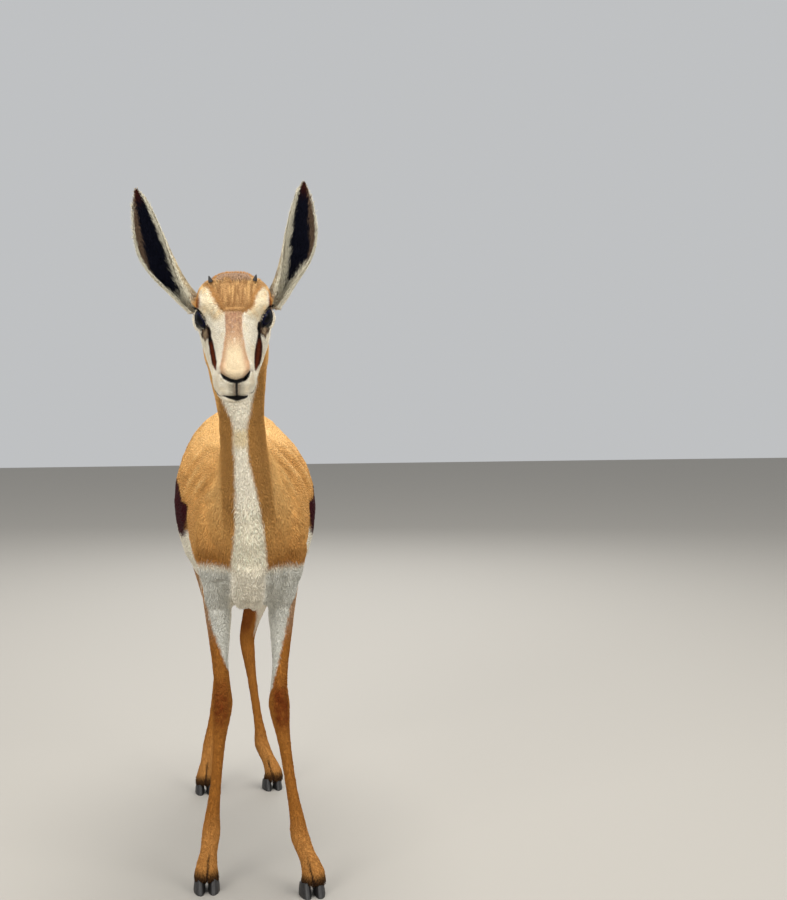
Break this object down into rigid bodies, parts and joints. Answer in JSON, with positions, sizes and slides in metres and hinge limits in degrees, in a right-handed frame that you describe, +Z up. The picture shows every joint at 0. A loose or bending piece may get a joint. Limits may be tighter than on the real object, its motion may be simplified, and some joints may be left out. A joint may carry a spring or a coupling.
{
  "type": "young springbok",
  "caption": "Life-size young springbok standing still on all its hooves, facing ahead with ears up: fawn back, dark flank stripe, white face, belly and rump.",
  "frame": {"origin": "on the floor, under the middle of the box that the whole animal fills", "axes": "+Z up, -Y the way the animal faces, +X the animal's left"},
  "size_m": [0.245, 0.7722, 0.9312],
  "materials": {
    "coat": "short hair, fawn above and white below",
    "horn": "dark keratin of the hooves, dewclaws and horn buds",
    "eye": "wet, nearly black"
  },
  "bodies": {
    "root": {"head": "coat", "neck": "coat", "torso": "coat", "tail": "coat", "ear_left": "coat", "eye_left": "eye", "horn_bud_left": "horn", "ear_right": "coat", "eye_right": "eye", "horn_bud_right": "horn", "foreleg_left_shoulder": "coat", "foreleg_left_forearm": "coat", "foreleg_left_cannon": "coat", "foreleg_left_claw_inner": "horn", "foreleg_left_dewclaw_inner": "horn", "foreleg_left_claw_outer": "horn", "foreleg_left_dewclaw_outer": "horn", "foreleg_right_shoulder": "coat", "foreleg_right_forearm": "coat", "foreleg_right_cannon": "coat", "foreleg_right_claw_inner": "horn", "foreleg_right_dewclaw_inner": "horn", "foreleg_right_claw_outer": "horn", "foreleg_right_dewclaw_outer": "horn", "hindleg_left_thigh": "coat", "hindleg_left_gaskin": "coat", "hindleg_left_cannon": "coat", "hindleg_left_claw_inner": "horn", "hindleg_left_dewclaw_inner": "horn", "hindleg_left_claw_outer": "horn", "hindleg_left_dewclaw_outer": "horn", "hindleg_right_thigh": "coat", "hindleg_right_gaskin": "coat", "hindleg_right_cannon": "coat", "hindleg_right_claw_inner": "horn", "hindleg_right_dewclaw_inner": "horn", "hindleg_right_claw_outer": "horn", "hindleg_right_dewclaw_outer": "horn"}
  },
  "joints": []
}
